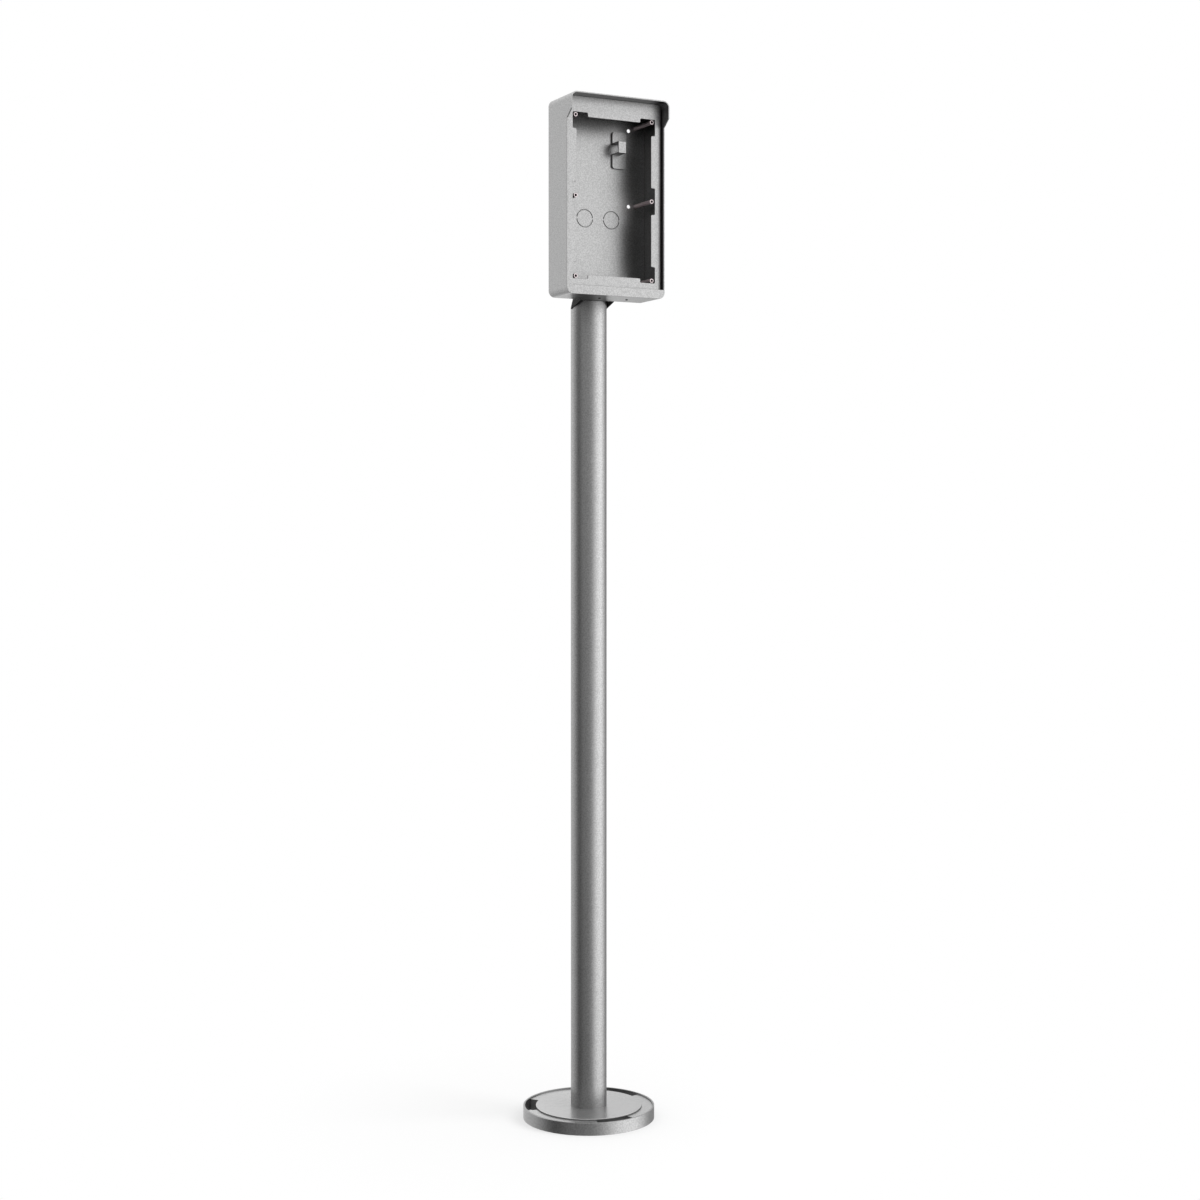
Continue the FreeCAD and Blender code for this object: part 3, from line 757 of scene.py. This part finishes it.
class Pattern:
    """A tree that repeats a fastener over a grid or round a ring, with named inputs."""

    def __init__(self, name, spread, turn):
        self.tree = bpy.data.node_groups.new(name, "GeometryNodeTree")
        self.inputs = {}
        self.name = name
        self.add_socket("Geometry", "NodeSocketGeometry")
        for label, kind in (
                ("Fastener", "NodeSocketObject"), ("Place", "NodeSocketVector"),
                ("Finish", "NodeSocketMaterial")):
            self.add_socket(label, kind)
        for label, kind in spread["sizes"]:
            self.add_socket(label, kind)
        self.tree.interface.new_socket(
            name="Geometry", in_out="OUTPUT", socket_type="NodeSocketGeometry")
        given = self.tree.nodes.new("NodeGroupInput")
        points = self.tree.nodes.new(spread["node"])
        for label, target in spread["links"]:
            self.link(given, label, points, target)
        shape = self.tree.nodes.new("GeometryNodeObjectInfo")
        self.link(given, "Fastener", shape, "Object")
        copies = self.tree.nodes.new("GeometryNodeInstanceOnPoints")
        self.link(points, "Mesh", copies, "Points")
        self.link(shape, "Geometry", copies, "Instance")
        real = self.tree.nodes.new("GeometryNodeRealizeInstances")
        self.link(copies, "Instances", real, "Geometry")
        placed = self.tree.nodes.new("GeometryNodeTransform")
        placed.inputs["Rotation"].default_value = turn
        self.link(real, "Geometry", placed, "Geometry")
        self.link(given, "Place", placed, "Translation")
        finished = self.tree.nodes.new("GeometryNodeSetMaterial")
        self.link(placed, "Geometry", finished, "Geometry")
        self.link(given, "Finish", finished, "Material")
        output = self.tree.nodes.new("NodeGroupOutput")
        self.link(finished, "Geometry", output, "Geometry")

    def add_socket(self, label, kind):
        """A named input. A modifier sets it by its identifier."""
        made = self.tree.interface.new_socket(name=label, in_out="INPUT", socket_type=kind)
        self.inputs[label] = made.identifier

    def link(self, source, output, target, name):
        self.tree.links.new(source.outputs[output], target.inputs[name])

    def apply(self, name, values):
        """Runs the tree once and gives the result as a plain mesh."""
        carrier = new_object(name, bpy.data.meshes.new(name))
        modifier = carrier.modifiers.new(self.name, "NODES")
        modifier.node_group = self.tree
        for label, value in values.items():
            modifier[self.inputs[label]] = value
        return baked(carrier, name)


# How fasteners are set out: the node that makes the points, the inputs that give its
# sizes, and the socket that each of them feeds
GRID = {
    "node": "GeometryNodeMeshGrid",
    "sizes": (
        ("Across", "NodeSocketFloat"), ("Up", "NodeSocketFloat"),
        ("Columns", "NodeSocketInt"), ("Rows", "NodeSocketInt")),
    "links": (
        ("Across", "Size X"), ("Up", "Size Y"),
        ("Columns", "Vertices X"), ("Rows", "Vertices Y")),
}
RING = {
    "node": "GeometryNodeMeshCircle",
    "sizes": (("Radius", "NodeSocketFloat"), ("Count", "NodeSocketInt")),
    "links": (("Radius", "Radius"), ("Count", "Vertices")),
}


def middle_of(*nodes):
    """The middle and the size of the box round some nodes."""
    corners = [Vector(corner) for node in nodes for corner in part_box(node)]
    low = Vector([min(corner[axis] for corner in corners) for axis in range(3)])
    high = Vector([max(corner[axis] for corner in corners) for axis in range(3)])
    return (low + high) / 2, high - low


def make_fasteners(finishes):
    """Bolts, nuts, screws and standoffs, each repeated by one of three trees."""
    upright = Pattern("upright_grid", GRID, (math.radians(-90), 0, 0))
    level = Pattern("level_grid", GRID, (0, 0, 0))
    ringed = Pattern("screw_ring", RING, (0, 0, math.radians(90)))

    def add(name, pattern, template, place, sizes, nodes):
        """Repeats a template and puts the result in the place of CAD nodes."""
        material = finishes[finish_of(nodes[0])]
        values = {"Fastener": template, "Finish": material, "Place": place}
        values.update(sizes)
        piece = pattern.apply(name, values)
        bpy.data.objects.remove(template)
        stands_for(piece, material, *nodes)

    for name, node, template, flats, start in (
            ("hexagon_bolts", "head_bolts", bolt_template(), BOLT_FLATS, BOLT_HEAD_HEIGHT),
            ("hexagon_nuts", "neck_nuts", nut_template(), NUT_FLATS, 0.0)):
        middle, size = middle_of(node)
        corner_width = flats / math.cos(math.radians(30))
        sizes = {
            "Across": size.x - flats, "Up": size.z - corner_width, "Columns": 2, "Rows": 2}
        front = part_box(node)[0][1] + start
        add(name, upright, template, (middle.x, front, middle.z), sizes, [node])

    middle, size = middle_of("frame_screws")
    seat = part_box("frame_screws")[0][2] + FRAME_SCREW_HEAD_HEIGHT
    sizes = {"Across": size.x - 2 * FRAME_SCREW_HEAD, "Up": 0.0, "Columns": 2, "Rows": 1}
    add("tongue_screws", level, frame_screw_template(), (middle.x, middle.y, seat), sizes,
        ["frame_screws"])

    low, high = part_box("foot_screws")
    sizes = {"Radius": high[1] - FOOT_SCREW_HEAD, "Count": FOOT_SCREW_COUNT}
    add("hub_screws", ringed, foot_screw_template(), (0.0, 0.0, low[2]), sizes, ["foot_screws"])

    nodes = ["standoff_" + row + "_" + side
             for row in ("lower", "middle", "upper") for side in ("left", "right")]
    middle, size = middle_of(*nodes)
    low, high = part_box(nodes[0])
    width = high[0] - low[0]
    sizes = {"Across": size.x - width, "Up": size.z - width, "Columns": 2, "Rows": 3}
    add("standoffs", upright, standoff_template(), (middle.x, low[1], middle.z), sizes, nodes)


def floor_material():
    """Pale floor that keeps the shadow near the foot and fades to white further out."""
    finish = Finish("pale_floor")
    distance = finish.value(
        "ShaderNodeVectorMath", "Value", {"operation": "LENGTH"}, {0: finish.place()})
    fade = finish.ramp_between(distance, FLOOR_FADE_START, FLOOR_FADE_END)
    fade = FLOOR_WHITE_SHARE + (1 - FLOOR_WHITE_SHARE) * fade
    matte = finish.value("ShaderNodeBsdfDiffuse", "BSDF", {}, {"Color": tone(FLOOR_TONE)})
    white = finish.value("ShaderNodeEmission", "Emission", {}, {"Color": tone(1.0)})
    shader = finish.value("ShaderNodeMixShader", 0, {}, {0: fade, 1: matte, 2: white})
    return finish.end_with(shader)


def make_floor():
    """A round floor that the metal doesn't mirror."""
    tool = bmesh.new()
    bmesh.ops.create_circle(tool, cap_ends=True, segments=STAGE_SIDES, radius=FLOOR_RADIUS)
    floor = piece_from(tool, "floor")
    floor.visible_glossy = False
    give_material(floor, floor_material())


def studio_material():
    """Soft light from all round, whose tone depends on the direction from the post.

    It is fainter for a ray that has met more metal on its way.
    """
    finish = Finish("studio_wall")
    to_right, to_rear, height = finish.coordinates()
    angle = to_right.through("ARCTAN2", -1 * to_rear)
    share_round = angle / (2 * math.pi) + 0.5
    lower, upper = [
        finish.value("ShaderNodeValToRGB", "Color", {
            "stops": [((stop[0] + 180) / 360, stop[part]) for stop in STUDIO_TONES]}, {0: share_round})
        for part in (1, 2)]
    in_upper = finish.ramp_between(height, STUDIO_LOWER_END, STUDIO_UPPER_START)
    round_level = lower * (1 - in_upper) + upper * in_upper
    in_sky = finish.ramp_between(height, STUDIO_SKY_START, STUDIO_HIGH)
    above_pit = finish.ramp_between(height, STUDIO_PIT_END, STUDIO_PIT_TOP)
    level = round_level * (1 - in_sky) + STUDIO_SKY * in_sky
    level = level * (STUDIO_PIT_SHARE + (1 - STUDIO_PIT_SHARE) * above_pit)
    bounces = finish.value("ShaderNodeLightPath", "Ray Depth")
    first, up_to_second = [bounces.through("LESS_THAN", count + 0.5) for count in (1, 2)]
    second = up_to_second - first
    share = first + SECOND_BOUNCE_SHARE * second + DEEP_BOUNCE_SHARE * (1 - first - second)
    light = finish.value("ShaderNodeEmission", "Emission", {}, {"Color": level * share})
    return finish.end_with(light)


def make_studio():
    """The round studio, which only the metal's reflections see."""
    tool = bmesh.new()
    bmesh.ops.create_cone(
        tool, cap_ends=True, segments=STAGE_SIDES, radius1=STUDIO_RADIUS, radius2=STUDIO_RADIUS,
        depth=STUDIO_HIGH - STUDIO_LOW,
        matrix=Matrix.Translation((0, 0, (STUDIO_HIGH + STUDIO_LOW) / 2)))
    studio = piece_from(tool, "studio_wall")
    give_material(studio, studio_material())
    studio.visible_camera = False
    studio.visible_diffuse = False
    studio.visible_shadow = False


def make_world():
    """White where it is seen, also in metal or through glass, and else plain soft light."""
    world = bpy.data.worlds.new("studio")
    bpy.context.scene.world = world
    shading = Shading(world)
    path = shading.node("ShaderNodeLightPath")
    camera_ray, glossy_ray, transmission_ray = [
        Value(shading, path.outputs["Is " + kind + " Ray"])
        for kind in ("Camera", "Glossy", "Transmission")]
    seen = camera_ray.through("MAXIMUM", glossy_ray).through("MAXIMUM", transmission_ray)
    ambient, white = [
        shading.value("ShaderNodeBackground", 0, {}, {"Color": tone(1.0), "Strength": strength})
        for strength in (AMBIENT_LEVEL, 1.0)]
    mixed = shading.value("ShaderNodeMixShader", 0, {}, {0: seen, 1: ambient, 2: white})
    shading.node("ShaderNodeOutputWorld", {}, {"Surface": mixed})


def make_key_lamp():
    """A square soft lamp that points at the middle of the post."""
    light = bpy.data.lights.new("key", "AREA")
    light.size = KEY_LAMP_SIZE
    light.energy = KEY_LAMP_POWER
    lamp = bpy.data.objects.new("key", light)
    lamp.location = KEY_LAMP_PLACE
    towards = Vector(KEY_LAMP_TARGET) - Vector(KEY_LAMP_PLACE)
    lamp.rotation_euler = towards.to_track_quat("-Z", "Y").to_euler()
    lamp.visible_glossy = False
    bpy.context.scene.collection.objects.link(lamp)


def make_camera():
    """The camera that was fitted to the photograph."""
    lens = bpy.data.cameras.new("camera")
    lens.lens = CAMERA_LENS
    lens.sensor_width = CAMERA_SENSOR
    lens.shift_y = CAMERA_RISE
    camera = bpy.data.objects.new("camera", lens)
    camera.location = CAMERA_PLACE
    camera.rotation_euler = (
        math.radians(90 - CAMERA_TILT), 0, math.radians(-CAMERA_HEADING))
    bpy.context.scene.collection.objects.link(camera)
    bpy.context.scene.camera = camera


finishes = dress_nodes()
for piece_name, edge_radius in EDGE_RADII.items():
    soften_edges(piece_name, edge_radius, finishes[finish_of(piece_name)])
make_fasteners(finishes)
make_floor()
make_studio()
make_world()
make_key_lamp()
make_camera()
bpy.context.scene.view_settings.view_transform = "Standard"
